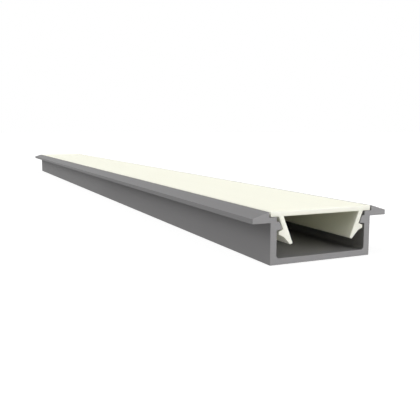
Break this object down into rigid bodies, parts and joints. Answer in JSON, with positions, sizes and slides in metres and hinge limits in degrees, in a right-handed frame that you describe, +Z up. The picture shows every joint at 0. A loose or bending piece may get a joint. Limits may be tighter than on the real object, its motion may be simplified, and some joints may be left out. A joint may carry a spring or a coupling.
{
  "type": "led strip aluminium profile",
  "caption": "Recessed aluminium channel with side flanges for a lighting strip, with a flat diffuser cover that hooks in with barbed legs and slides out of the open ends.",
  "frame": {"origin": "middle of the channel's flat underside, halfway along its length", "axes": "+X across the width, +Y along the length, +Z up from the underside to the cover"},
  "size_m": [0.03, 0.272, 0.0099],
  "materials": {
    "aluminium": "matte anodised extrusion",
    "diffuser": "satin opal"
  },
  "bodies": {
    "trough": {"channel": "aluminium"},
    "diffuser": {"cover": "diffuser"}
  },
  "joints": [
    {"name": "cover_slide", "type": "slide", "parent": "trough", "child": "diffuser", "axis": [0, 1, 0], "range_m": [-0.24, 0.24]}
  ]
}
